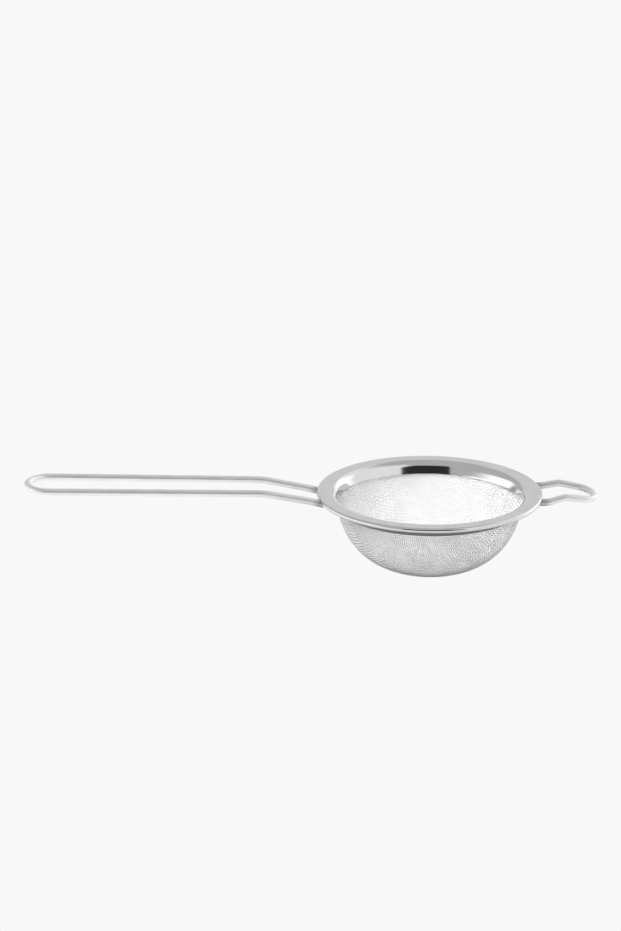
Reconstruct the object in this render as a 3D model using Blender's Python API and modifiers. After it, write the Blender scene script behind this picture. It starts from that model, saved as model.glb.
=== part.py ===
"""Tea strainer: a woven bowl in a pressed rim, with a wire loop handle and a wire cup rest.

Frame: metres, +Z up. The origin is under the middle of the whole length, level with the bowl's lowest
point. +X runs along the object towards the cup rest, and the handle points to -X.
The pieces are dimensioned from the bowl's axis and the rim's flat top, and one empty carries them all
to their place in the frame.
"""

import math

import bmesh
import bpy
from mathutils import Vector

MM = 0.001

# Rim: one sheet, pressed to a flat flange. Inside it bends down to a steep throat wall. Outside it is
# rolled under.
RIM_OUTER_RADIUS = 40.0 * MM
RIM_SHEET = 0.4 * MM
EDGE_ROLL_RADIUS = 0.95 * MM
EDGE_ROLL_END_DEG = -170.0
THROAT_RADIUS = 32.0 * MM
THROAT_Z = -4.5 * MM
THROAT_WALL_DEG = 68.0
THROAT_BEND_RADIUS = 3.5 * MM

# Bowl: woven cloth drawn to a rounded cup, here a thin shell with the same outside shape.
# From the shoulder down, radius and depth follow a superellipse. Above it the cloth opens to the neck,
# and from there it flares behind the throat wall, parallel to it.
CLOTH_THICKNESS = 0.35 * MM
CLOTH_TOP_Z = -2.4 * MM
CLOTH_NECK_RADIUS = 33.15 * MM
CLOTH_NECK_Z = -4.75 * MM
BOWL_SHOULDER_Z = -7.5 * MM
BOWL_RADIUS = 32.7 * MM
BOWL_START_Z = -3.7 * MM
BOWL_HEIGHT = 24.9 * MM
BOWL_SIDE_POWER = 2.8
BOWL_BASE_POWER = 1.8

# Pieces that touch on the real object keep this much air between them here.
GAP = 0.35 * MM

# Clamp band: it pinches the cloth's edge against the back of the throat.
CLAMP_THICKNESS = 0.4 * MM
CLAMP_TOP_Z = -2.0 * MM

# Both wires start under the flange, beside the clamp band. Half widths are measured to the wire's centre.
WIRE_RADIUS = 1.25 * MM
WIRE_END_X = 35.2 * MM

HANDLE_WELD_Z = -(RIM_SHEET + GAP + WIRE_RADIUS)
HANDLE_WELD_HALF_WIDTH = 7.0 * MM
HANDLE_RISE_X = -38.3 * MM
HANDLE_RISE_BEND_RADIUS = 5.0 * MM
HANDLE_NECK_X = -43.0 * MM
HANDLE_NECK_Z = -0.75 * MM
HANDLE_NECK_HALF_WIDTH = 7.1 * MM
HANDLE_NECK_BEND_RADIUS = 30.0 * MM
HANDLE_BEND_X = -58.8 * MM
HANDLE_BEND_Z = 2.45 * MM
HANDLE_BEND_HALF_WIDTH = 7.6 * MM
HANDLE_BEND_RADIUS = 25.0 * MM
HANDLE_TIP_X = -141.4 * MM
HANDLE_TIP_Z = 4.85 * MM
HANDLE_TIP_HALF_WIDTH = 8.25 * MM
HANDLE_TIP_RADIUS = 8.0 * MM

REST_WELD_Z = -2.1 * MM
REST_WELD_HALF_WIDTH = 9.0 * MM
REST_RISE_X = 41.0 * MM
REST_RISE_BEND_RADIUS = 5.0 * MM
REST_HUMP_X = 47.4 * MM
REST_HUMP_Z = -0.7 * MM
REST_HUMP_HALF_WIDTH = 7.95 * MM
REST_HUMP_RADIUS = 5.0 * MM
REST_TIP_X = 58.65 * MM
REST_TIP_Z = -2.7 * MM
REST_TIP_HALF_WIDTH = 6.2 * MM
REST_TIP_RADIUS = 6.0 * MM

# The rolled edge is notched where a wire passes through it.
NOTCH_CLEARANCE = 0.3 * MM
NOTCH_REACH = 2.0 * MM

# Fineness of the curves.
RIM_STEPS = 60
BOWL_STEPS = 56
EDGE_ROLL_SEGMENTS = 12
BOWL_SEGMENTS = 13
BEND_STEP_DEG = 11.25
MERGE_DISTANCE = 0.00001


def clear_scene():
    for obj in list(bpy.data.objects):
        bpy.data.objects.remove(obj, do_unlink=True)


def new_collection(name):
    collection = bpy.data.collections.new(name)
    bpy.context.scene.collection.children.link(collection)
    return collection


def steel(name, brightness, roughness):
    """Stainless steel with a faint warm cast."""
    material = bpy.data.materials.new(name)
    material.use_nodes = True
    shader = material.node_tree.nodes["Principled BSDF"]
    colour = (brightness, brightness * 0.99, brightness * 0.975, 1.0)
    shader.inputs["Base Color"].default_value = colour
    shader.inputs["Metallic"].default_value = 1.0
    shader.inputs["Roughness"].default_value = roughness
    return material


def arc(centre, radius, start_deg, end_deg, segments):
    """(radius, z) points of an arc round a centre, both ends included."""
    points = []
    for i in range(segments + 1):
        angle = math.radians(start_deg + (end_deg - start_deg) * i / segments)
        points.append((centre[0] + radius * math.cos(angle), centre[1] + radius * math.sin(angle)))
    return points


def turned_sheet(name, profile, thickness, steps, collection, material):
    """A sheet turned about Z. The profile is its outer face, and the sheet thickens inward from it."""
    mesh = bpy.data.meshes.new(name)
    edges = [(i, i + 1) for i in range(len(profile) - 1)]
    mesh.from_pydata([(radius, 0.0, z) for radius, z in profile], edges, [])
    obj = bpy.data.objects.new(name, mesh)
    collection.objects.link(obj)
    mesh.materials.append(material)

    turn = obj.modifiers.new("Turn", "SCREW")
    turn.axis = "Z"
    turn.steps = steps
    turn.render_steps = steps
    turn.use_merge_vertices = True
    turn.merge_threshold = MERGE_DISTANCE
    turn.use_smooth_shade = True

    sheet = obj.modifiers.new("Sheet", "SOLIDIFY")
    sheet.thickness = thickness
    sheet.offset = -1.0
    sheet.use_even_offset = True
    return obj


def rounded_path(corners):
    """Polyline through (point, bend radius) corners, each inner corner turned into a circular arc."""
    points = [corners[0][0]]
    for (before, _), (corner, radius), (after, _) in zip(corners, corners[1:], corners[2:]):
        way_in = (corner - before).normalized()
        way_out = (after - corner).normalized()
        turn = way_in.angle(way_out)
        start = corner - way_in * radius * math.tan(turn / 2)
        inward = (way_out - way_in * way_out.dot(way_in)).normalized()
        centre = start + inward * radius
        steps = max(2, math.ceil(math.degrees(turn) / BEND_STEP_DEG))
        for i in range(steps + 1):
            angle = turn * i / steps
            points.append(centre + (way_in * math.sin(angle) - inward * math.cos(angle)) * radius)
    points.append(corners[-1][0])
    return points


def mirrored_loop(side):
    """Both sides of a loop from the corners of its +Y side."""
    back = [(Vector((corner.x, -corner.y, corner.z)), radius) for corner, radius in reversed(side)]
    return side + back


def round_wire(name, path, radius, collection, material=None):
    """A round wire along a path, as a closed mesh with its end caps welded on."""
    curve = bpy.data.curves.new(name, "CURVE")
    curve.dimensions = "3D"
    curve.bevel_depth = radius
    curve.bevel_resolution = 2
    curve.use_fill_caps = True
    spline = curve.splines.new("POLY")
    spline.points.add(len(path) - 1)
    for point, place in zip(spline.points, path):
        point.co = (*place, 1.0)
    guide = bpy.data.objects.new(name + "_guide", curve)
    collection.objects.link(guide)

    mesh = bpy.data.meshes.new_from_object(guide.evaluated_get(bpy.context.evaluated_depsgraph_get()))
    mesh.name = name
    bm = bmesh.new()
    bm.from_mesh(mesh)
    bmesh.ops.remove_doubles(bm, verts=bm.verts, dist=MERGE_DISTANCE)
    bm.to_mesh(mesh)
    bm.free()
    mesh.shade_smooth()
    mesh.set_sharp_from_angle(angle=math.radians(50))

    obj = bpy.data.objects.new(name, mesh)
    obj.matrix_world = guide.matrix_world.copy()
    collection.objects.link(obj)
    bpy.data.objects.remove(guide, do_unlink=True)
    mesh.materials.clear()
    if material:
        mesh.materials.append(material)
    return obj


def cut(obj, cutter):
    cutter.hide_render = True
    cutter.display_type = "WIRE"
    boolean = obj.modifiers.new("Cut " + cutter.name, "BOOLEAN")
    boolean.operation = "DIFFERENCE"
    boolean.solver = "EXACT"
    boolean.object = cutter


def handle_path():
    return rounded_path(
        mirrored_loop(
            [
                (Vector((-WIRE_END_X, HANDLE_WELD_HALF_WIDTH, HANDLE_WELD_Z)), 0.0),
                (Vector((HANDLE_RISE_X, HANDLE_WELD_HALF_WIDTH, HANDLE_WELD_Z)), HANDLE_RISE_BEND_RADIUS),
                (Vector((HANDLE_NECK_X, HANDLE_NECK_HALF_WIDTH, HANDLE_NECK_Z)), HANDLE_NECK_BEND_RADIUS),
                (Vector((HANDLE_BEND_X, HANDLE_BEND_HALF_WIDTH, HANDLE_BEND_Z)), HANDLE_BEND_RADIUS),
                (Vector((HANDLE_TIP_X, HANDLE_TIP_HALF_WIDTH, HANDLE_TIP_Z)), HANDLE_TIP_RADIUS),
            ]
        )
    )


def rest_path():
    return rounded_path(
        mirrored_loop(
            [
                (Vector((WIRE_END_X, REST_WELD_HALF_WIDTH, REST_WELD_Z)), 0.0),
                (Vector((REST_RISE_X, REST_WELD_HALF_WIDTH, REST_WELD_Z)), REST_RISE_BEND_RADIUS),
                (Vector((REST_HUMP_X, REST_HUMP_HALF_WIDTH, REST_HUMP_Z)), REST_HUMP_RADIUS),
                (Vector((REST_TIP_X, REST_TIP_HALF_WIDTH, REST_TIP_Z)), REST_TIP_RADIUS),
            ]
        )
    )


def root_of_strand(path):
    """The stretch of a wire from its welded end to a little way past the rim."""
    reach = RIM_OUTER_RADIUS + NOTCH_REACH
    root = [path[0]]
    for before, after in zip(path, path[1:]):
        if after.xy.length > reach:
            share = (reach - before.xy.length) / (after.xy.length - before.xy.length)
            root.append(before.lerp(after, share))
            return root
        root.append(after)
    return root


def notch_edge_roll(rim, path, name, cutters):
    """Cut the rolled edge where the two strands of a loop pass through it."""
    for side, strand in (("left", path), ("right", list(reversed(path)))):
        root = root_of_strand(strand)
        cutter = round_wire(f"{name}_{side}_notch", root, WIRE_RADIUS + NOTCH_CLEARANCE, cutters)
        cut(rim, cutter)


def wall_offset(height):
    """How far a line parallel to the throat wall moves out over a height."""
    return height / math.tan(math.radians(THROAT_WALL_DEG))


def rim_profile():
    """The rim's outer face, from the throat's lower edge over the flange and round the rolled edge."""
    roll_centre = (RIM_OUTER_RADIUS - EDGE_ROLL_RADIUS, -EDGE_ROLL_RADIUS)
    throat = rounded_path(
        [
            (Vector((THROAT_RADIUS, 0.0, THROAT_Z)), 0.0),
            (Vector((THROAT_RADIUS + wall_offset(-THROAT_Z), 0.0, 0.0)), THROAT_BEND_RADIUS),
            (Vector((roll_centre[0], 0.0, 0.0)), 0.0),
        ]
    )
    edge_roll = arc(roll_centre, EDGE_ROLL_RADIUS, 90.0, EDGE_ROLL_END_DEG, EDGE_ROLL_SEGMENTS)
    return [(point.x, point.z) for point in throat[:-1]] + edge_roll


def cloth_radius(z):
    """Outside radius of the cloth at a height."""
    if z > CLOTH_NECK_Z:
        return CLOTH_NECK_RADIUS + wall_offset(z - CLOTH_NECK_Z)
    depth = (BOWL_START_Z - min(z, BOWL_SHOULDER_Z)) / BOWL_HEIGHT
    bowl = BOWL_RADIUS * (1.0 - depth**BOWL_BASE_POWER) ** (1.0 / BOWL_SIDE_POWER)
    if z > BOWL_SHOULDER_Z:
        share = (CLOTH_NECK_Z - z) / (CLOTH_NECK_Z - BOWL_SHOULDER_Z)
        return CLOTH_NECK_RADIUS + (bowl - CLOTH_NECK_RADIUS) * share
    return bowl


def bowl_profile():
    """The cloth's outer face, from its clamped top edge down to the middle of the base."""
    shoulder_depth = (BOWL_START_Z - BOWL_SHOULDER_Z) / BOWL_HEIGHT
    first_angle = math.asin(shoulder_depth ** (BOWL_BASE_POWER / 2))
    points = [(cloth_radius(CLOTH_TOP_Z), CLOTH_TOP_Z), (CLOTH_NECK_RADIUS, CLOTH_NECK_Z)]
    for i in range(BOWL_SEGMENTS):
        angle = first_angle + (math.pi / 2 - first_angle) * i / BOWL_SEGMENTS
        z = BOWL_START_Z - BOWL_HEIGHT * math.sin(angle) ** (2 / BOWL_BASE_POWER)
        points.append((cloth_radius(z), z))
    points.append((0.0, BOWL_START_Z - BOWL_HEIGHT))
    return points


def clamp_profile():
    """The band's outer face, which follows the flare of the cloth."""
    outward = GAP + CLAMP_THICKNESS
    return [(cloth_radius(z) + outward, z) for z in (CLAMP_TOP_Z, CLOTH_NECK_Z)]


def place_on_bowl_axis(parts, cutters):
    """Carry everything on an empty at the bowl's axis, so that the origin falls under mid-length."""
    bowl_axis = bpy.data.objects.new("bowl_axis", None)
    parts.objects.link(bowl_axis)
    bowl_axis.location = (-(HANDLE_TIP_X + REST_TIP_X) / 2, 0.0, BOWL_HEIGHT - BOWL_START_Z)
    for obj in [*parts.objects, *cutters.objects]:
        if obj is not bowl_axis:
            obj.parent = bowl_axis


def build():
    clear_scene()
    parts = new_collection("tea_strainer")
    cutters = new_collection("cutters")
    cutters.hide_render = True

    handle = handle_path()
    rest = rest_path()
    rim = turned_sheet("rim", rim_profile(), RIM_SHEET, RIM_STEPS, parts, steel("rim_steel", 0.78, 0.22))
    turned_sheet(
        "mesh_bowl", bowl_profile(), CLOTH_THICKNESS, BOWL_STEPS, parts, steel("cloth_steel", 0.74, 0.35)
    )
    turned_sheet(
        "mesh_clamp_ring", clamp_profile(), CLAMP_THICKNESS, RIM_STEPS, parts, steel("clamp_steel", 0.68, 0.32)
    )
    round_wire("handle_wire", handle, WIRE_RADIUS, parts, steel("handle_steel", 0.82, 0.18))
    round_wire("rest_wire", rest, WIRE_RADIUS, parts, steel("rest_steel", 0.82, 0.18))
    notch_edge_roll(rim, handle, "handle", cutters)
    notch_edge_roll(rim, rest, "rest", cutters)
    place_on_bowl_axis(parts, cutters)


build()
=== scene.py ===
import math
from collections import namedtuple

import bmesh
import bpy
import numpy as np
from mathutils import Matrix, Vector


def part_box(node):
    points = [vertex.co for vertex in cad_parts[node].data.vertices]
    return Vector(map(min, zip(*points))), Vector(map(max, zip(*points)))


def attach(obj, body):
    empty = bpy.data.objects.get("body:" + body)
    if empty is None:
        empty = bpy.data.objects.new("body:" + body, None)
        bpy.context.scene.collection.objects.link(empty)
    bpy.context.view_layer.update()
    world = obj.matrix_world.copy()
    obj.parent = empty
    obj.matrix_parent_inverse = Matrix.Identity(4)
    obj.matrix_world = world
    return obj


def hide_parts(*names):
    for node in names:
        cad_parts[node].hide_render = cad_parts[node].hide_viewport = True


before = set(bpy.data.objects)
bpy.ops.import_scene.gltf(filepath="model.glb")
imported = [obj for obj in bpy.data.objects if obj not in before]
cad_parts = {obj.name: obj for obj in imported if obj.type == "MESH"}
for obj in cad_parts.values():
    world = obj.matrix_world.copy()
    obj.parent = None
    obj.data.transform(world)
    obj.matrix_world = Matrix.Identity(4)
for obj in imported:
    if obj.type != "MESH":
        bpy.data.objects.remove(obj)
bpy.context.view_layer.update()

MM = 0.001

# ------------------------------------------------------------------------------------------------
# Places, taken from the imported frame. An outline is made of (radius from the bowl's axis, height)
# points. Heights and local points are measured from the rim's centre, on its flat top.
RIM_LOW, RIM_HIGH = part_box("rim")
BOWL_LOW, BOWL_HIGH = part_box("mesh_bowl")
CLAMP_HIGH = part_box("mesh_clamp_ring")[1]
HANDLE_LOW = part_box("handle_wire")[0]
REST_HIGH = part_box("rest_wire")[1]

RIM_CENTRE = Vector(((RIM_LOW.x + RIM_HIGH.x) / 2, 0.0, RIM_HIGH.z))
RIM_RADIUS = (RIM_HIGH.x - RIM_LOW.x) / 2

# Rim sheet.
SHEET = 0.4 * MM
ROLL_RADIUS = 0.95 * MM
ROLL_END_DEG = -170.0
THROAT_RADIUS = 32.0 * MM
THROAT_Z = -4.5 * MM
THROAT_WALL_DEG = 68.0
THROAT_BEND_RADIUS = 3.5 * MM
RIM_STEPS = 288

# Cloth. The outline is the CAD shell's outer face. The weave lies inside it.
CLOTH_TOP_Z = BOWL_HIGH.z - RIM_CENTRE.z
CLOTH_NECK_RADIUS = 33.15 * MM
CLOTH_NECK_Z = -4.75 * MM
BOWL_SHOULDER_Z = -7.5 * MM
BOWL_RADIUS = 32.7 * MM
BOWL_START_Z = -3.7 * MM
BOWL_HEIGHT = BOWL_START_Z - (BOWL_LOW.z - RIM_CENTRE.z)
BOWL_SIDE_POWER = 2.8
BOWL_BASE_POWER = 1.8
WEAVE_PITCH = 0.77 * MM
WEAVE_WIRE = 0.25 * MM
WEAVE_INSET = 0.2 * MM
WEAVE_TURN_DEG = 54.0
WEAVE_SIDES = 5
WEAVE_STEPS_PER_PITCH = 4
WEAVE_FEWEST_CROSSINGS = 4
WEAVE_PIECES_PER_DIRECTION = 3

# Clamp band, and the row of spot welds that holds it. GAP is the air that the CAD leaves between pieces.
GAP = 0.35 * MM
CLAMP_THICKNESS = 0.4 * MM
CLAMP_TOP_Z = CLAMP_HIGH.z - RIM_CENTRE.z
CLAMP_SPOTS = 30
CLAMP_SPOT_RADIUS = 0.62 * MM
CLAMP_SPOT_DEPTH = 0.1 * MM
CLAMP_STEPS = 840

# Wires of the handle and the cup rest, measured to the wire's centre.
WIRE_RADIUS = 1.25 * MM
WIRE_END_ROUND = 0.25 * MM
WIRE_END_RINGS = 4
WIRE_SIDES = 32
WIRE_END_X = 35.2 * MM
HANDLE_WELD_Z = -(SHEET + GAP + WIRE_RADIUS)
HANDLE_WELD_HALF_WIDTH = 7.0 * MM
HANDLE_RISE_X = -38.3 * MM
HANDLE_RISE_BEND = 5.0 * MM
HANDLE_NECK = (-43.0 * MM, 7.1 * MM, -0.75 * MM)
HANDLE_NECK_BEND = 30.0 * MM
HANDLE_BEND = (-58.8 * MM, 7.6 * MM, 2.45 * MM)
HANDLE_BEND_RADIUS = 25.0 * MM
HANDLE_TIP = (HANDLE_LOW.x + WIRE_RADIUS - RIM_CENTRE.x, 8.25 * MM, 4.85 * MM)
HANDLE_TIP_RADIUS = 8.0 * MM
REST_WELD_Z = -2.1 * MM
REST_WELD_HALF_WIDTH = 9.0 * MM
REST_RISE_X = 41.0 * MM
REST_RISE_BEND = 5.0 * MM
REST_HUMP = (47.4 * MM, 7.95 * MM, -0.7 * MM)
REST_HUMP_RADIUS = 5.0 * MM
REST_TIP = (REST_HIGH.x - WIRE_RADIUS - RIM_CENTRE.x, 6.2 * MM, -2.7 * MM)
REST_TIP_RADIUS = 6.0 * MM
NOTCH_CLEARANCE = 0.3 * MM
NOTCH_REACH = 2.0 * MM
NOTCH_SIDES = 24

# Welds between each strand and the flange: half sizes, and places along the strand under the flange.
WELD_HALF_SIZE = (1.1 * MM, 0.85 * MM, 0.42 * MM)
WELD_PLACES = (0.28, 0.85)

# Edges that turn more than this are shaded sharp.
SHARP_DEG = 40.0
WIRE_SHARP_DEG = 50.0
WEAVE_SHARP_DEG = 80.0

# The view: the camera looks down on the strainer from the side, with the handle to the left.
VIEW_PITCH = math.radians(18.45)
VIEW_TURN = math.radians(3.0)
VIEW_DISTANCE = 815.0 * MM
VIEW_ASIDE = 42.1 * MM
VIEW_ABOVE = 8.8 * MM
LENS_MM = 89.0
SENSOR_MM = 36.0


# ------------------------------------------------------------------------------------------------
# Outlines.
def arc(centre, radius, start_deg, end_deg, segments):
    """(radius, z) points of an arc round a centre, both ends included."""
    points = []
    for i in range(segments + 1):
        angle = math.radians(start_deg + (end_deg - start_deg) * i / segments)
        points.append((centre[0] + radius * math.cos(angle), centre[1] + radius * math.sin(angle)))
    return points


def rounded_path(corners, step_deg):
    """Polyline through (point, bend radius) corners, each inner corner turned into a circular arc."""
    points = [Vector(corners[0][0])]
    for (before, _), (corner, radius), (after, _) in zip(corners, corners[1:], corners[2:]):
        corner = Vector(corner)
        way_in = (corner - Vector(before)).normalized()
        way_out = (Vector(after) - corner).normalized()
        turn = way_in.angle(way_out)
        start = corner - way_in * radius * math.tan(turn / 2)
        inward = (way_out - way_in * way_out.dot(way_in)).normalized()
        centre = start + inward * radius
        steps = max(3, math.ceil(math.degrees(turn) / step_deg))
        for i in range(steps + 1):
            angle = turn * i / steps
            points.append(centre + (way_in * math.sin(angle) - inward * math.cos(angle)) * radius)
    points.append(Vector(corners[-1][0]))
    return points


def resampled(points, spacing):
    """The same polyline with extra points, so that no step is longer than the spacing."""
    fine = [points[0]]
    for before, after in zip(points, points[1:]):
        steps = max(1, math.ceil((after - before).length / spacing))
        fine += [before.lerp(after, i / steps) for i in range(1, steps + 1)]
    return fine


def wire_loop(side):
    """A whole wire loop, from the (corner, bend radius) pairs of its +Y side."""
    back = [((x, -y, z), radius) for (x, y, z), radius in reversed(side)]
    return resampled(rounded_path(side + back, step_deg=4.0), spacing=1.5 * MM)


def handle_path():
    """Centre line of the handle's wire."""
    return wire_loop(
        [
            ((-WIRE_END_X, HANDLE_WELD_HALF_WIDTH, HANDLE_WELD_Z), 0.0),
            ((HANDLE_RISE_X, HANDLE_WELD_HALF_WIDTH, HANDLE_WELD_Z), HANDLE_RISE_BEND),
            (HANDLE_NECK, HANDLE_NECK_BEND),
            (HANDLE_BEND, HANDLE_BEND_RADIUS),
            (HANDLE_TIP, HANDLE_TIP_RADIUS),
        ]
    )


def rest_path():
    """Centre line of the cup rest's wire."""
    return wire_loop(
        [
            ((WIRE_END_X, REST_WELD_HALF_WIDTH, REST_WELD_Z), 0.0),
            ((REST_RISE_X, REST_WELD_HALF_WIDTH, REST_WELD_Z), REST_RISE_BEND),
            (REST_HUMP, REST_HUMP_RADIUS),
            (REST_TIP, REST_TIP_RADIUS),
        ]
    )


def wall_offset(height):
    """How far a line parallel to the throat wall moves out over a height."""
    return height / math.tan(math.radians(THROAT_WALL_DEG))


def cloth_radius(z):
    """Outside radius of the cloth at a height."""
    if z > CLOTH_NECK_Z:
        return CLOTH_NECK_RADIUS + wall_offset(z - CLOTH_NECK_Z)
    depth = (BOWL_START_Z - min(z, BOWL_SHOULDER_Z)) / BOWL_HEIGHT
    bowl = BOWL_RADIUS * max(0.0, 1.0 - depth**BOWL_BASE_POWER) ** (1.0 / BOWL_SIDE_POWER)
    if z > BOWL_SHOULDER_Z:
        share = (CLOTH_NECK_Z - z) / (CLOTH_NECK_Z - BOWL_SHOULDER_Z)
        return CLOTH_NECK_RADIUS + (bowl - CLOTH_NECK_RADIUS) * share
    return bowl


# ------------------------------------------------------------------------------------------------
# Mesh building.
def mesh_object(name, points, faces, sharp_deg=SHARP_DEG):
    """A mesh of quads or polygons given in local coordinates, shaded smooth."""
    mesh = bpy.data.meshes.new(name)
    mesh.from_pydata([tuple(p) for p in points], [], faces)
    mesh.update()
    mesh.transform(Matrix.Translation(RIM_CENTRE))
    mesh.shade_smooth()
    mesh.set_sharp_from_angle(angle=math.radians(sharp_deg))
    obj = bpy.data.objects.new(name, mesh)
    bpy.context.scene.collection.objects.link(obj)
    return obj


def turned(name, outline, steps):
    """A closed outline of (radius, z) points, turned about the bowl's axis."""
    count = len(outline)
    angles = np.linspace(0.0, 2 * math.pi, steps, endpoint=False)
    radii, heights = np.array(outline).T
    x = np.outer(np.cos(angles), radii)
    y = np.outer(np.sin(angles), radii)
    z = np.broadcast_to(heights, (steps, count))
    points = np.stack([x, y, z], axis=-1).reshape(-1, 3)
    faces = []
    for i in range(steps):
        ring, following = i * count, (i + 1) % steps * count
        for j in range(count):
            k = (j + 1) % count
            faces.append((ring + j, ring + k, following + k, following + j))
    return mesh_object(name, points, faces)


def sheet_outline(face, thickness, edge_segments=4):
    """Closed outline of a sheet from the open line of its outer face, with both cut edges rounded."""
    face = np.array(face)
    along = np.gradient(face, axis=0)
    along /= np.linalg.norm(along, axis=1)[:, None]
    inward = np.stack([along[:, 1], -along[:, 0]], axis=1)
    middle = face + inward * thickness / 2
    outline = []

    def round_end(centre, start, way):
        for i in range(1, edge_segments * 2):
            angle = math.pi * i / (edge_segments * 2)
            outline.append(centre + (start * math.cos(angle) + way * math.sin(angle)) * thickness / 2)

    outline += list(face)
    round_end(middle[-1], -inward[-1], along[-1])
    outline += list((face + inward * thickness)[::-1])
    round_end(middle[0], inward[0], -along[0])
    return [tuple(p) for p in outline][::-1]


def sweep_frames(path):
    """Tangent and two side directions at each point of a path, carried along it without twist."""
    path = np.array([tuple(p) for p in path])
    tangents = np.gradient(path, axis=0)
    tangents /= np.linalg.norm(tangents, axis=1)[:, None]
    side = np.cross(tangents[0], (0.0, 0.0, 1.0))
    side /= np.linalg.norm(side)
    sides = []
    for tangent in tangents:
        side = side - tangent * side.dot(tangent)
        side /= np.linalg.norm(side)
        sides.append(side)
    sides = np.array(sides)
    return path, tangents, sides, np.cross(sides, tangents)


def wire_sections(path, tangents, radius, end_round):
    """(path index, centre, radius) of the rings along a wire. A rounded end is a few narrower rings."""
    if not end_round:
        return [(i, centre, radius) for i, centre in enumerate(path)]
    narrowed = []
    for i in range(WIRE_END_RINGS):
        angle = math.pi / 2 * i / WIRE_END_RINGS
        narrowed.append((end_round * (1 - math.cos(angle)), radius - end_round * (1 - math.sin(angle))))
    last = len(path) - 1
    start = [(0, path[0] + tangents[0] * inset, narrow) for inset, narrow in narrowed]
    middle = [(i, path[i], radius) for i in range(1, last)]
    end = [(last, path[last] - tangents[last] * inset, narrow) for inset, narrow in reversed(narrowed)]
    return start + middle + end


def tube_faces(rings, around):
    """Quads between successive rings of points, and a cap at each end."""
    faces = []
    for i in range(rings - 1):
        this_ring, next_ring = i * around, (i + 1) * around
        for j in range(around):
            k = (j + 1) % around
            faces.append((this_ring + j, next_ring + j, next_ring + k, this_ring + k))
    faces.append(tuple(range(around)))
    faces.append(tuple((rings - 1) * around + j for j in reversed(range(around))))
    return faces


def swept_wire(name, path, radius, around, end_round=0.0):
    """A round wire along a path, with its own length and turn coordinates for the material."""
    path, tangents, sides, ups = sweep_frames(path)
    sections = wire_sections(path, tangents, radius, end_round)
    turns = np.arange(around) / around * 2 * math.pi
    rings = []
    for i, centre, ring_radius in sections:
        circle = np.outer(np.cos(turns), sides[i]) + np.outer(np.sin(turns), ups[i])
        rings.append(centre + ring_radius * circle)
    faces = tube_faces(len(rings), around)
    wire = mesh_object(name, np.concatenate(rings), faces, WIRE_SHARP_DEG)
    middles = np.array([centre for _, centre, _ in sections])
    run = np.concatenate([[0.0], np.cumsum(np.linalg.norm(np.diff(middles, axis=0), axis=1))])
    set_attribute(wire, "run", np.repeat(run, around))
    set_attribute(wire, "from_end", np.repeat(np.minimum(run, run[-1] - run), around))
    set_attribute(wire, "turn_x", np.tile(np.cos(turns), len(rings)))
    set_attribute(wire, "turn_y", np.tile(np.sin(turns), len(rings)))
    return wire


def set_attribute(obj, name, values):
    """Store one number for each vertex, for a material to read."""
    attribute = obj.data.attributes.new(name, "FLOAT", "POINT")
    attribute.data.foreach_set("value", np.asarray(values, np.float32))


def cut_away(obj, cutters):
    """Subtract the cutters for good, and remove them."""
    for cutter in cutters:
        boolean = obj.modifiers.new("cut", "BOOLEAN")
        boolean.operation = "DIFFERENCE"
        boolean.solver = "EXACT"
        boolean.object = cutter
    bpy.context.view_layer.update()
    mesh = bpy.data.meshes.new_from_object(obj.evaluated_get(bpy.context.evaluated_depsgraph_get()))
    obj.modifiers.clear()
    obj.data = mesh
    mesh.shade_smooth()
    mesh.set_sharp_from_angle(angle=math.radians(SHARP_DEG))
    for cutter in cutters:
        bpy.data.objects.remove(cutter, do_unlink=True)


# ------------------------------------------------------------------------------------------------
# Pieces.
def flange_inner_radius():
    """Where the throat's bend runs out into the flat flange."""
    tangent = THROAT_BEND_RADIUS * math.tan(math.radians(THROAT_WALL_DEG / 2))
    return THROAT_RADIUS + wall_offset(-THROAT_Z) + tangent


def rim_face():
    """The rim's outer face, from the throat's lower edge over the flange and round the rolled edge."""
    roll_centre = (RIM_RADIUS - ROLL_RADIUS, -ROLL_RADIUS)
    throat = rounded_path(
        [
            ((THROAT_RADIUS, 0.0, THROAT_Z), 0.0),
            ((THROAT_RADIUS + wall_offset(-THROAT_Z), 0.0, 0.0), THROAT_BEND_RADIUS),
            ((roll_centre[0], 0.0, 0.0), 0.0),
        ],
        step_deg=4.0,
    )
    throat = resampled(throat, spacing=0.8 * MM)
    roll = arc(roll_centre, ROLL_RADIUS, 90.0, ROLL_END_DEG, 36)
    return [(point.x, point.z) for point in throat[:-1]] + roll


def strand_roots(path):
    """The stretch of each strand from its welded end to a little way past the rim."""
    reach = RIM_RADIUS + NOTCH_REACH
    first = next(i for i, point in enumerate(path) if math.hypot(point.x, point.y) > reach)
    return [path[: first + 1], path[-first - 1 :]]


def build_rim(wire_paths):
    """The pressed sheet, with a notch in its rolled edge for each strand of wire."""
    rim = turned("rim_sheet", sheet_outline(rim_face(), SHEET), RIM_STEPS)
    cutters = []
    for path in wire_paths:
        for root in strand_roots(path):
            cutters.append(swept_wire("notch", root, WIRE_RADIUS + NOTCH_CLEARANCE, NOTCH_SIDES))
    cut_away(rim, cutters)
    return rim


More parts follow.
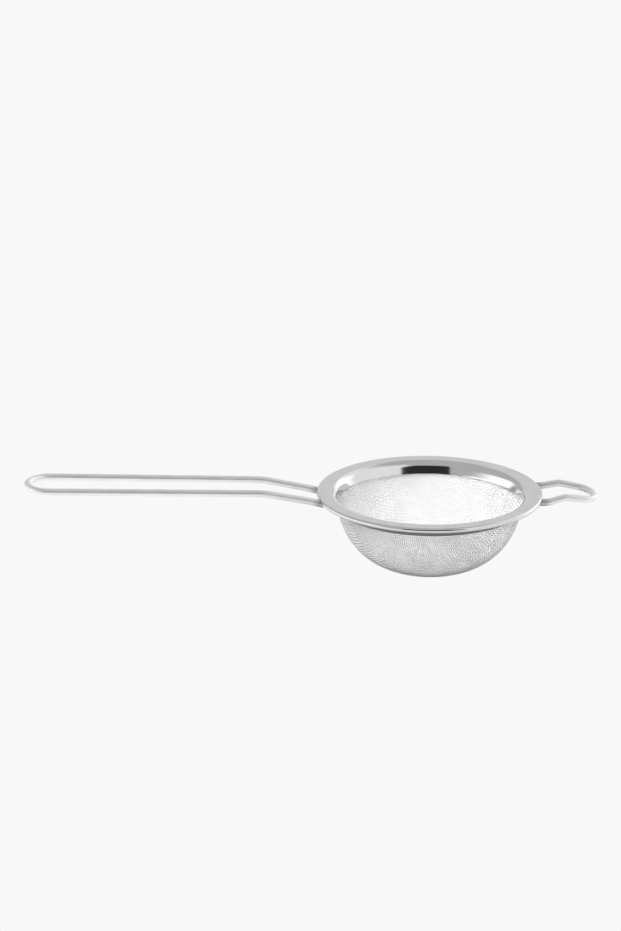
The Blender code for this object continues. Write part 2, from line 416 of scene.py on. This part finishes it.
def spot_dimples(local):
    """Depth of the spot weld dimples at points of the clamp band."""
    radius = np.hypot(local[:, 0], local[:, 1])
    spacing = 2 * math.pi / CLAMP_SPOTS
    angle = np.arctan2(local[:, 1], local[:, 0])
    off_centre = (angle + spacing / 2) % spacing - spacing / 2
    middle_z = (CLAMP_TOP_Z + CLOTH_NECK_Z) / 2
    distance = np.hypot(off_centre * radius, local[:, 2] - middle_z) / CLAMP_SPOT_RADIUS
    dimple = np.clip(1.0 - distance, 0.0, 1.0)
    inner_face = np.array([cloth_radius(z) for z in local[:, 2]]) + GAP
    on_outer_side = radius > inner_face + CLAMP_THICKNESS / 2
    return CLAMP_SPOT_DEPTH * (dimple * dimple * (3 - 2 * dimple)) * on_outer_side


def build_clamp():
    """Clamp band with a row of shallow spot weld dimples."""
    heights = np.linspace(CLAMP_TOP_Z, CLOTH_NECK_Z, 15)
    face = [(cloth_radius(z) + GAP + CLAMP_THICKNESS, z) for z in heights]
    band = turned("clamp_band", sheet_outline(face, CLAMP_THICKNESS, edge_segments=3), CLAMP_STEPS)
    vertices = band.data.vertices
    places = np.zeros(len(vertices) * 3, np.float32)
    vertices.foreach_get("co", places)
    places = places.reshape(-1, 3).astype(float)
    local = places - np.array(RIM_CENTRE)
    outward = local[:, :2] / np.hypot(local[:, 0], local[:, 1])[:, None]
    places[:, :2] -= outward * spot_dimples(local)[:, None]
    vertices.foreach_set("co", places.astype(np.float32).ravel())
    band.data.update()
    return band


def build_welds(wire_paths):
    """Small fused patches between each strand and the flange's underside, two to a strand."""
    bm = bmesh.new()
    for path in wire_paths:
        for root in strand_roots(path):
            welded = [p for p in root if math.hypot(p.x, p.y) < RIM_RADIUS - 2 * ROLL_RADIUS]
            strand = sorted(welded, key=lambda p: abs(p.x))
            for share in WELD_PLACES:
                place = strand[0].lerp(strand[-1], share)
                gap_middle = (place.z + WIRE_RADIUS - SHEET) / 2
                shape = Matrix.Translation((place.x, place.y, gap_middle))
                shape = shape @ Matrix.Diagonal((*WELD_HALF_SIZE, 1.0))
                bmesh.ops.create_uvsphere(bm, u_segments=28, v_segments=16, radius=1.0, matrix=shape)
    mesh = bpy.data.meshes.new("wire_welds")
    bm.to_mesh(mesh)
    bm.free()
    mesh.transform(Matrix.Translation(RIM_CENTRE))
    mesh.shade_smooth()
    welds = bpy.data.objects.new("wire_welds", mesh)
    bpy.context.scene.collection.objects.link(welds)
    return welds


# ------------------------------------------------------------------------------------------------
# The woven bowl. Square cloth pressed over a bowl keeps the length of its wires and shears between
# them. So the crossings form a net in which neighbours along a wire are one pitch apart, laid from
# the middle of the base outward.
class ClothSurface:
    """The cloth's middle surface, by distance from the middle of the base along the slope."""

    def __init__(self):
        angles = np.linspace(math.pi / 2, 0.05, 3000)
        bowl_z = BOWL_START_Z - BOWL_HEIGHT * np.sin(angles) ** (2 / BOWL_BASE_POWER)
        neck_z = np.linspace(BOWL_SHOULDER_Z, CLOTH_TOP_Z, 60)
        z = np.concatenate([bowl_z[bowl_z < BOWL_SHOULDER_Z], neck_z])
        r = np.array([cloth_radius(height) for height in z])
        slope = np.stack([np.gradient(r), np.gradient(z)], axis=1)
        slope /= np.linalg.norm(slope, axis=1)[:, None]
        slope[0] = (1.0, 0.0)
        r = r - slope[:, 1] * WEAVE_INSET
        z = z + slope[:, 0] * WEAVE_INSET
        r[0] = 0.0

        # The net runs past the cloth's edge before it is trimmed, so the surface goes straight on there.
        beyond = 4 * WEAVE_PITCH
        self.r = np.append(r, r[-1] + slope[-1, 0] * beyond)
        self.z = np.append(z, z[-1] + slope[-1, 1] * beyond)
        self.normal_r = np.append(slope[:, 1], slope[-1, 1])
        self.normal_z = np.append(-slope[:, 0], -slope[-1, 0])
        steps = np.hypot(np.diff(self.r), np.diff(self.z))
        self.distance = np.concatenate([[0.0], np.cumsum(steps)])
        self.edge = self.distance[-2]

    def turned_pair(self, distance, turn, radial, upright):
        """An outline's two values at a distance, turned to (x, y, z)."""
        r = np.interp(distance, self.distance, radial)
        z = np.interp(distance, self.distance, upright)
        return np.stack([r * np.cos(turn), r * np.sin(turn), z], axis=-1)

    def point(self, distance, turn):
        return self.turned_pair(distance, turn, self.r, self.z)

    def normal(self, distance, turn):
        return self.turned_pair(distance, turn, self.normal_r, self.normal_z)


def next_crossing(surface, before, beside, opposite):
    """The place one pitch away from two crossings, away from the third, by Newton's method."""
    neighbours = np.array([surface.point(*before), surface.point(*beside)])

    def misfit(place):
        offsets = surface.point(*place) - neighbours
        return (offsets * offsets).sum(axis=1) / WEAVE_PITCH**2 - 1.0

    guess = neighbours[0] + neighbours[1] - surface.point(*opposite)
    start_distance = max(before[0], beside[0]) + 0.3 * WEAVE_PITCH
    place = np.array([start_distance, math.atan2(guess[1], guess[0])])
    distance_step, turn_step = 1e-3 * WEAVE_PITCH, 1e-4
    most = np.array([WEAVE_PITCH / 2, 0.2])
    for _ in range(12):
        error = misfit(place)
        if abs(error).max() < 1e-7:
            break
        by_distance = (misfit(place + (distance_step, 0.0)) - error) / distance_step
        by_turn = (misfit(place + (0.0, turn_step)) - error) / turn_step
        move = np.linalg.solve(np.stack([by_distance, by_turn], axis=1), -error)
        place = place + np.clip(move, -most, most)
    return place


def net_quadrant(surface):
    """(distance, turn) of the crossings in a quarter of the cloth, grown outward from its middle wires."""
    reach = surface.edge + WEAVE_PITCH
    count = math.ceil(reach / WEAVE_PITCH) + 2
    net = np.full((count, count, 2), np.nan)
    middle_wire = np.arange(count) * WEAVE_PITCH
    net[:, 0] = np.stack([middle_wire, np.zeros(count)], axis=1)
    net[0, :] = np.stack([middle_wire, np.full(count, math.pi / 2)], axis=1)
    for diagonal in range(2, 2 * count - 1):
        for i in range(max(1, diagonal - count + 1), min(count, diagonal)):
            j = diagonal - i
            before, beside = net[i - 1, j], net[i, j - 1]
            if np.isnan(before[0] + beside[0]) or min(before[0], beside[0]) > reach:
                continue
            net[i, j] = next_crossing(surface, before, beside, net[i - 1, j - 1])
    return net


def wire_crossings(net, line, crosswise):
    """Flat (x, y) places of one wire's crossings, and whether the wire goes over at the first of them."""
    count = len(net)
    places = []
    over_first = False
    for cross in range(-count + 1, count):
        i, j = (line, cross) if crosswise else (cross, line)
        distance, turn = net[abs(i), abs(j)]
        if np.isnan(distance):
            continue
        if not places:
            over_first = ((i + j) % 2 == 0) != crosswise
        x = math.copysign(1.0, i) * distance * math.cos(turn)
        y = math.copysign(1.0, j) * distance * math.sin(turn)
        places.append((x, y))
    return np.array(places), over_first


def weave_lines(surface, net, crosswise):
    """Centre lines, with surface normals, of all wires of one direction, going over and under in turn."""
    count = len(net)
    lines = []
    for line in range(-count + 1, count):
        places, over_first = wire_crossings(net, line, crosswise)
        if len(places) < WEAVE_FEWEST_CROSSINGS:
            continue
        step_count = (len(places) - 1) * WEAVE_STEPS_PER_PITCH + 1
        pitches = np.arange(step_count) / WEAVE_STEPS_PER_PITCH
        x = np.interp(pitches, np.arange(len(places)), places[:, 0])
        y = np.interp(pitches, np.arange(len(places)), places[:, 1])
        distance = np.hypot(x, y)
        turn = np.arctan2(y, x)
        inside = np.flatnonzero(distance <= surface.edge)
        if len(inside) < WEAVE_STEPS_PER_PITCH:
            continue
        kept = slice(inside[0], inside[-1] + 1)
        height = WEAVE_WIRE / 2 if over_first else -WEAVE_WIRE / 2
        lift = np.cos(math.pi * pitches) * height
        normals = surface.normal(distance, turn)
        points = surface.point(distance, turn) + normals * lift[:, None]
        lines.append((points[kept], normals[kept]))
    return lines


def woven_piece(name, lines, turn):
    """One mesh of many thin wires. Each wire is a closed tube of its own."""
    spin = np.array(Matrix.Rotation(turn, 3, "Z"))
    angles = np.arange(WEAVE_SIDES) / WEAVE_SIDES * 2 * math.pi
    points, faces, start = [], [], 0
    for centres, normals in lines:
        tangents = np.gradient(centres, axis=0)
        tangents /= np.linalg.norm(tangents, axis=1)[:, None]
        sides = np.cross(tangents, normals)
        sides /= np.linalg.norm(sides, axis=1)[:, None]
        ups = np.cross(sides, tangents)
        ring = np.cos(angles)[:, None, None] * sides + np.sin(angles)[:, None, None] * ups
        tube = centres + WEAVE_WIRE / 2 * ring
        points.append(tube.transpose(1, 0, 2).reshape(-1, 3) @ spin.T)
        rings = len(centres)
        base = start + np.arange(rings - 1)[:, None] * WEAVE_SIDES
        j = np.arange(WEAVE_SIDES)
        k = (j + 1) % WEAVE_SIDES
        quads = np.stack([base + j, base + k, base + WEAVE_SIDES + k, base + WEAVE_SIDES + j], axis=-1)
        faces += quads.reshape(-1, 4).tolist()
        faces.append(list(range(start, start + WEAVE_SIDES))[::-1])
        last = start + (rings - 1) * WEAVE_SIDES
        faces.append(list(range(last, last + WEAVE_SIDES)))
        start += rings * WEAVE_SIDES
    return mesh_object(name, np.concatenate(points), faces, WEAVE_SHARP_DEG)


def build_weave():
    """The whole bowl, as a few pieces with equal shares of the points for each direction of the wires."""
    surface = ClothSurface()
    net = net_quadrant(surface)
    turn = math.radians(WEAVE_TURN_DEG)
    pieces = []
    for label, crosswise in (("warp", False), ("weft", True)):
        lines = weave_lines(surface, net, crosswise)
        points = np.cumsum([len(centres) for centres, _ in lines])
        for part in range(WEAVE_PIECES_PER_DIRECTION):
            low = points[-1] * part / WEAVE_PIECES_PER_DIRECTION
            high = points[-1] * (part + 1) / WEAVE_PIECES_PER_DIRECTION
            chosen = [line for line, total in zip(lines, points) if low < total <= high]
            pieces.append(woven_piece(f"cloth_{label}_{part + 1}", chosen, turn))
    return pieces


# ------------------------------------------------------------------------------------------------
# Materials. Levels are linear brightness, and noise is stretched by multiplying the coordinates that
# it reads.
WARMTH = 0.003


class Nodes:
    """Short calls for building a shader tree. A value is a number or another node's output."""

    def __init__(self, tree):
        self.tree = tree

    def add(self, kind, **settings):
        """A new node with its settings."""
        node = self.tree.nodes.new(kind)
        for key, value in settings.items():
            setattr(node, key, value)
        return node

    def set(self, socket, value):
        """Link a socket to another node's output, or give it a plain value."""
        if isinstance(value, bpy.types.NodeSocket):
            self.tree.links.new(value, socket)
        else:
            socket.default_value = value

    def math(self, operation, *values):
        node = self.add("ShaderNodeMath", operation=operation)
        for socket, value in zip(node.inputs, values):
            self.set(socket, value)
        return node.outputs[0]

    def square(self, value):
        return self.math("MULTIPLY", value, value)

    def combine(self, x, y, z):
        node = self.add("ShaderNodeCombineXYZ")
        for socket, value in zip(node.inputs, (x, y, z)):
            self.set(socket, value)
        return node.outputs[0]

    def noise(self, vector, scale, detail=2.0, roughness=0.5):
        node = self.add("ShaderNodeTexNoise")
        self.set(node.inputs["Vector"], vector)
        self.set(node.inputs["Scale"], scale)
        self.set(node.inputs["Detail"], detail)
        self.set(node.inputs["Roughness"], roughness)
        return node.outputs["Fac"]

    def ramp(self, value, low, high, to_low=0.0, to_high=1.0, smooth=True):
        """The value's place between two limits, turned into a number between two others."""
        node = self.add("ShaderNodeMapRange", interpolation_type="SMOOTHSTEP" if smooth else "LINEAR")
        for socket, entry in zip(node.inputs, (value, low, high, to_low, to_high)):
            self.set(socket, entry)
        return node.outputs["Result"]

    def mix(self, share, first, second):
        """Colour between two."""
        node = self.add("ShaderNodeMix", data_type="RGBA")
        self.set(node.inputs["Factor"], share)
        colours = [socket for socket in node.inputs if socket.type == "RGBA"]
        self.set(colours[0], first)
        self.set(colours[1], second)
        return next(socket for socket in node.outputs if socket.type == "RGBA")

    def blend(self, share, first, second):
        """Number between two."""
        node = self.add("ShaderNodeMix", data_type="FLOAT")
        self.set(node.inputs[0], share)
        self.set(node.inputs[2], first)
        self.set(node.inputs[3], second)
        return node.outputs[0]

    def window(self, value, low, high, soft):
        """1 between two limits, and 0 outside them, with a soft step at each."""
        rise = self.ramp(value, low - soft, low + soft)
        return self.math("MULTIPLY", rise, self.ramp(value, high - soft, high + soft, 1.0, 0.0))

    def bump(self, height, strength, distance):
        node = self.add("ShaderNodeBump")
        self.set(node.inputs["Height"], height)
        self.set(node.inputs["Strength"], strength)
        self.set(node.inputs["Distance"], distance)
        return node.outputs["Normal"]


def steel(name):
    """A metallic Principled material, with its node helper and its shader."""
    material = bpy.data.materials.new(name)
    material.use_nodes = True
    shader = material.node_tree.nodes["Principled BSDF"]
    shader.inputs["Metallic"].default_value = 1.0
    return material, Nodes(material.node_tree), shader


def grey(level):
    """A steel grey, a trace warmer than neutral."""
    return (level, level * (1 - WARMTH), level * (1 - 2 * WARMTH), 1.0)


def polar(nodes):
    """Place from the rim's centre, radius from the bowl's axis, turn about it and height, as sockets."""
    local = nodes.add("ShaderNodeVectorMath", operation="SUBTRACT")
    nodes.set(local.inputs[0], nodes.add("ShaderNodeTexCoord").outputs["Object"])
    local.inputs[1].default_value = RIM_CENTRE
    split = nodes.add("ShaderNodeSeparateXYZ")
    nodes.set(split.inputs[0], local.outputs[0])
    x, y, z = split.outputs
    radius = nodes.math("SQRT", nodes.math("ADD", nodes.square(x), nodes.square(y)))
    return local.outputs[0], radius, nodes.math("ARCTAN2", y, x), z


def rings_round(nodes, along, along_scale, turn, turn_scale):
    """Fine lines that run round the bowl's axis, as noise stretched along the turn."""
    place = nodes.combine(
        nodes.math("MULTIPLY", along, along_scale),
        nodes.math("MULTIPLY", turn, turn_scale),
        0.0,
    )
    return nodes.noise(place, scale=1.0, detail=3.0)


def rim_material():
    """Pressed stainless sheet: satin on the flat flange, bright where the press tool drew it."""
    material, nodes, shader = steel("pressed_steel")
    local, radius, turn, _ = polar(nodes)
    flange_start = flange_inner_radius()
    on_flange = nodes.math(
        "MULTIPLY",
        nodes.ramp(radius, flange_start - 0.5 * MM, flange_start + 0.3 * MM),
        nodes.ramp(radius, RIM_RADIUS - 0.9 * MM, RIM_RADIUS - 0.4 * MM, 1.0, 0.0),
    )
    rings = rings_round(nodes, radius, 9000.0, turn, 3.0)
    smudges = nodes.noise(local, scale=130.0, detail=3.0)
    satin = nodes.ramp(rings, 0.3, 0.7, 0.24, 0.32)
    bright = nodes.ramp(smudges, 0.35, 0.7, 0.08, 0.13)
    tone = nodes.mix(nodes.ramp(smudges, 0.3, 0.75), grey(0.73), grey(0.78))
    nodes.set(shader.inputs["Base Color"], tone)
    nodes.set(shader.inputs["Roughness"], nodes.blend(on_flange, bright, satin))
    nodes.set(shader.inputs["Normal"], nodes.bump(rings, 0.05, 0.02 * MM))
    return material


def wire_material():
    """Drawn wire: fine draw lines along its length, heat colours by the welded ends, and painted shade
    where it runs under the flange and a little way past its edge.
    """
    material, nodes, shader = steel("drawn_steel")
    run, from_end, turn_x, turn_y = (
        nodes.add("ShaderNodeAttribute", attribute_name=name).outputs["Fac"]
        for name in ("run", "from_end", "turn_x", "turn_y")
    )
    line_place = nodes.combine(
        nodes.math("MULTIPLY", turn_x, 14.0),
        nodes.math("MULTIPLY", turn_y, 14.0),
        nodes.math("MULTIPLY", run, 120.0),
    )
    lines = nodes.noise(line_place, scale=1.0, detail=3.0)
    patch_place = nodes.combine(turn_x, turn_y, nodes.math("MULTIPLY", run, 260.0))
    patches = nodes.noise(patch_place, scale=0.8)
    clean = nodes.mix(nodes.ramp(patches, 0.3, 0.7), grey(0.9), grey(0.96))
    # Painted shade: the wire is darkened where it runs under the flange, fading out a little way past the
    # flange's edge.
    painted_shade_by_rim = nodes.math("MULTIPLY", nodes.ramp(from_end, 4.0 * MM, 7.5 * MM, 1.0, 0.0), 0.6)
    tone_with_painted_shade = nodes.mix(painted_shade_by_rim, clean, grey(0.3))
    straw = nodes.math("MULTIPLY", nodes.ramp(from_end, 1.0 * MM, 3.5 * MM, 1.0, 0.0), 0.4)
    tinted = nodes.mix(straw, tone_with_painted_shade, (0.62, 0.5, 0.34, 1.0))
    nodes.set(shader.inputs["Base Color"], tinted)
    nodes.set(shader.inputs["Roughness"], nodes.ramp(lines, 0.3, 0.7, 0.44, 0.54))
    nodes.set(shader.inputs["Normal"], nodes.bump(lines, 0.06, 0.03 * MM))
    return material


def cloth_material():
    """Woven stainless wire: a brighter base colour on the inside of the bowl, and painted shade on the
    outward-facing side of the wires.
    """
    material, nodes, shader = steel("woven_steel")
    local = polar(nodes)[0]
    outward = nodes.add("ShaderNodeVectorMath", operation="NORMALIZE")
    nodes.set(outward.inputs[0], local)
    facing = nodes.add("ShaderNodeVectorMath", operation="DOT_PRODUCT")
    nodes.set(facing.inputs[0], outward.outputs["Vector"])
    nodes.set(facing.inputs[1], nodes.add("ShaderNodeNewGeometry").outputs["Normal"])
    # Painted shade: the wires' outward-facing side gets a darker base colour than their inward-facing side.
    outside = nodes.ramp(facing.outputs["Value"], -0.2, 0.4)
    patches = nodes.noise(local, scale=180.0, detail=2.0)
    worn = nodes.ramp(patches, 0.3, 0.7)
    inner_tone = nodes.mix(worn, grey(0.9), grey(0.96))
    painted_shade_outer_tone = nodes.mix(worn, grey(0.76), grey(0.84))
    nodes.set(shader.inputs["Base Color"], nodes.mix(outside, inner_tone, painted_shade_outer_tone))
    nodes.set(shader.inputs["Roughness"], nodes.ramp(patches, 0.3, 0.7, 0.56, 0.66))
    return material


def clamp_material():
    """Steel strip with lines running round it, in a dark base colour that is painted shade under the rim's
    rolled edge.
    """
    material, nodes, shader = steel("painted_shade_strip_steel")
    _, _, turn, z = polar(nodes)
    lines = rings_round(nodes, z, 14000.0, turn, 4.0)
    # Painted shade: the band's very dark base colour stands in for the shade under the rim's rolled edge.
    nodes.set(shader.inputs["Base Color"], nodes.mix(lines, grey(0.18), grey(0.28)))
    nodes.set(shader.inputs["Roughness"], nodes.ramp(lines, 0.3, 0.7, 0.24, 0.4))
    nodes.set(shader.inputs["Normal"], nodes.bump(lines, 0.08, 0.02 * MM))
    return material


def weld_material():
    """Fused steel: dull, with straw and blue heat colours."""
    material, nodes, shader = steel("weld_steel")
    dull, straw, blue = (0.5, 0.47, 0.44, 1.0), (0.55, 0.42, 0.26, 1.0), (0.3, 0.33, 0.42, 1.0)
    place = nodes.add("ShaderNodeTexCoord").outputs["Object"]
    heat = nodes.noise(place, scale=900.0, detail=3.0)
    warm = nodes.mix(nodes.ramp(heat, 0.35, 0.5), dull, straw)
    nodes.set(shader.inputs["Base Color"], nodes.mix(nodes.ramp(heat, 0.55, 0.7), warm, blue))
    nodes.set(shader.inputs["Roughness"], nodes.ramp(heat, 0.3, 0.7, 0.3, 0.5))
    nodes.set(shader.inputs["Normal"], nodes.bump(heat, 0.3, 0.05 * MM))
    return material


# ------------------------------------------------------------------------------------------------
# Stage, light and camera. The floor and the world are one pale tone to the camera, PAPER. The steel
# sees them differently: a floor that is in shade under the strainer, and a studio of even patches.
PAPER = 0.94
FLOOR_HALF = 30.0
FLOOR_DROP = 0.2 * MM
FLOOR_GLOW = 0.95
FLOOR_GLOW_BELOW = 0.03
FLOOR_SHADE_RADIUS = 80.0 * MM

# A patch runs up from the floor to its top, between two sides. All are in degrees: sides as the turn
# to the right of straight behind the strainer, and tops as height above the horizon.
Patch = namedtuple("Patch", "level sides side_soft top top_soft")
WALL_LEVEL = 0.52
WASH = Patch(level=0.95, sides=(22.0, 150.0), side_soft=6.0, top=54.0, top_soft=10.0)
LOW_WALL = Patch(level=0.5, sides=(85.0, 165.0), side_soft=8.0, top=8.0, top_soft=4.0)
RIGHT_LAMP = Patch(level=1.4, sides=(30.0, 70.0), side_soft=7.0, top=30.0, top_soft=7.0)
BACKDROP = Patch(level=0.73, sides=(-26.0, 22.0), side_soft=6.0, top=55.0, top_soft=10.0)
LEFT_LAMP = Patch(level=1.4, sides=(-128.0, -52.0), side_soft=10.0, top=18.0, top_soft=4.0)

# The dark gap on the camera's side, with sides as the turn to the right of straight before the
# strainer. It gets narrower on the right between two heights.
GAP_LEVEL = 0.03
GAP_LEFT = (-31.0, -28.0)
GAP_RIGHT = (34.0, 16.0)
GAP_RIGHT_HEIGHTS = (26.0, 42.0)
GAP_RIGHT_SOFT = 1.5
GAP_TOP = (38.0, 42.0)

# Fill lamp.
FILL_STRENGTH = 3.7
FILL_SPREAD_DEG = 50.0
FILL_FORWARD_DEG = 20.0
FILL_LEFT_DEG = 30.0


def build_floor():
    """A large pale floor that stays even to the eye, and greyer in the steel's reflections, with a painted
    shadow under the strainer.
    """
    mesh = bpy.data.meshes.new("floor")
    corners = [(x * FLOOR_HALF, y * FLOOR_HALF, 0.0) for x, y in ((-1, -1), (1, -1), (1, 1), (-1, 1))]
    mesh.from_pydata(corners, [], [(0, 1, 2, 3)])
    floor = bpy.data.objects.new("floor", mesh)
    floor.location.z = BOWL_LOW.z - FLOOR_DROP
    bpy.context.scene.collection.objects.link(floor)
    material = bpy.data.materials.new("pale_floor")
    material.use_nodes = True
    nodes = Nodes(material.node_tree)
    material.node_tree.nodes.remove(material.node_tree.nodes["Principled BSDF"])
    glow = nodes.add("ShaderNodeEmission")
    seen = nodes.add("ShaderNodeLightPath").outputs["Is Camera Ray"]
    radius = polar(nodes)[1]
    # Painted shadow: in reflections the floor's glow falls to FLOOR_GLOW_BELOW under the strainer.
    shaded = nodes.ramp(radius, 0.0, FLOOR_SHADE_RADIUS, FLOOR_GLOW_BELOW, FLOOR_GLOW)
    nodes.set(glow.inputs["Strength"], nodes.blend(seen, shaded, PAPER))
    nodes.set(material.node_tree.nodes["Material Output"].inputs["Surface"], glow.outputs[0])
    mesh.materials.append(material)


def add_patch(nodes, beneath, patch, behind, height):
    """Lay a patch over the brightness so far."""
    across = nodes.window(behind, *patch.sides, patch.side_soft)
    below = nodes.ramp(height, patch.top - patch.top_soft, patch.top + patch.top_soft, 1.0, 0.0)
    return nodes.blend(nodes.math("MULTIPLY", across, below), beneath, patch.level)


def dark_gap(nodes, before, height):
    """1 inside the dark gap, and 0 outside it."""
    right_limit = nodes.ramp(height, *GAP_RIGHT_HEIGHTS, *GAP_RIGHT, smooth=False)
    past_right = nodes.math("SUBTRACT", before, right_limit)
    across = nodes.math(
        "MULTIPLY",
        nodes.ramp(before, *GAP_LEFT),
        nodes.ramp(past_right, -GAP_RIGHT_SOFT, GAP_RIGHT_SOFT, 1.0, 0.0),
    )
    return nodes.math("MULTIPLY", across, nodes.ramp(height, *GAP_TOP, 1.0, 0.0))


def build_world():
    """The studio as the steel reflects it. To the eye it is one pale tone."""
    world = bpy.data.worlds.new("studio")
    bpy.context.scene.world = world
    world.use_nodes = True
    nodes = Nodes(world.node_tree)
    turned_view = nodes.add("ShaderNodeVectorRotate", rotation_type="Z_AXIS")
    nodes.set(turned_view.inputs["Vector"], nodes.add("ShaderNodeTexCoord").outputs["Generated"])
    nodes.set(turned_view.inputs["Angle"], VIEW_TURN)
    split = nodes.add("ShaderNodeSeparateXYZ")
    nodes.set(split.inputs[0], turned_view.outputs[0])
    x, y, z = split.outputs
    height = nodes.math("DEGREES", nodes.math("ARCSINE", z))
    behind = nodes.math("DEGREES", nodes.math("ARCTAN2", x, y))
    before = nodes.math("DEGREES", nodes.math("ARCTAN2", x, nodes.math("MULTIPLY", y, -1.0)))

    level = WALL_LEVEL
    for patch in (WASH, LOW_WALL, RIGHT_LAMP, BACKDROP, LEFT_LAMP):
        level = add_patch(nodes, level, patch, behind, height)
    level = nodes.blend(dark_gap(nodes, before, height), level, GAP_LEVEL)
    seen = nodes.add("ShaderNodeLightPath").outputs["Is Camera Ray"]
    background = world.node_tree.nodes["Background"]
    background.inputs["Color"].default_value = (1.0, 1.0, 1.0, 1.0)
    nodes.set(background.inputs["Strength"], nodes.blend(seen, level, PAPER))


def build_fill_lamp(pieces):
    """A broad lamp overhead that lights only the cloth, so that the smooth parts keep their reflections."""
    lamp_data = bpy.data.lights.new("fill", "SUN")
    lamp_data.energy = FILL_STRENGTH
    lamp_data.angle = math.radians(FILL_SPREAD_DEG)
    lamp = bpy.data.objects.new("fill", lamp_data)
    lamp.rotation_euler = (math.radians(FILL_FORWARD_DEG), math.radians(-FILL_LEFT_DEG), 0.0)
    bpy.context.scene.collection.objects.link(lamp)
    receivers = bpy.data.collections.new("fill_receivers")
    for piece in pieces:
        receivers.objects.link(piece)
    lamp.light_linking.receiver_collection = receivers


def build_camera():
    """The camera, aimed so that the strainer sits a little below the middle of the picture."""
    camera_data = bpy.data.cameras.new("camera")
    camera_data.lens = LENS_MM
    camera_data.sensor_width = SENSOR_MM
    camera = bpy.data.objects.new("camera", camera_data)
    turn = Matrix.Rotation(-VIEW_TURN, 3, "Z")
    right = turn @ Vector((1.0, 0.0, 0.0))
    forward = turn @ Vector((0.0, math.cos(VIEW_PITCH), -math.sin(VIEW_PITCH)))
    up = right.cross(forward)
    pose = Matrix((right, up, -forward)).transposed().to_4x4()
    pose.translation = RIM_CENTRE - right * VIEW_ASIDE + up * VIEW_ABOVE - forward * VIEW_DISTANCE
    camera.matrix_world = pose
    bpy.context.scene.collection.objects.link(camera)
    bpy.context.scene.camera = camera


# ------------------------------------------------------------------------------------------------
# The strainer, put together over the CAD nodes, and its studio.
def add_piece(obj, material, slot, *cad_nodes):
    """Give a piece its material and its body, and hide the CAD nodes that it stands for. The finish slot is
    not used.
    """
    obj.data.materials.clear()
    obj.data.materials.append(material)
    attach(obj, "root")
    if cad_nodes:
        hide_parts(*cad_nodes)


def build_strainer():
    """All pieces. Returns those of the cloth."""
    handle = handle_path()
    rest = rest_path()
    wire_steel = wire_material()
    cloth_steel = cloth_material()
    add_piece(build_rim((handle, rest)), rim_material(), "rim_steel", "rim")
    add_piece(build_clamp(), clamp_material(), "clamp_steel", "mesh_clamp_ring")
    for name, path, node in (("handle_loop", handle, "handle_wire"), ("cup_rest", rest, "rest_wire")):
        wire = swept_wire(name, path, WIRE_RADIUS, WIRE_SIDES, WIRE_END_ROUND)
        add_piece(wire, wire_steel, "wire_steel", node)
    add_piece(build_welds((handle, rest)), weld_material(), "wire_steel")
    cloths = build_weave()
    for cloth in cloths:
        add_piece(cloth, cloth_steel, "woven_steel", "mesh_bowl")
    return cloths


build_fill_lamp(build_strainer())
build_floor()
build_world()
build_camera()
bpy.context.scene.view_settings.view_transform = "Standard"
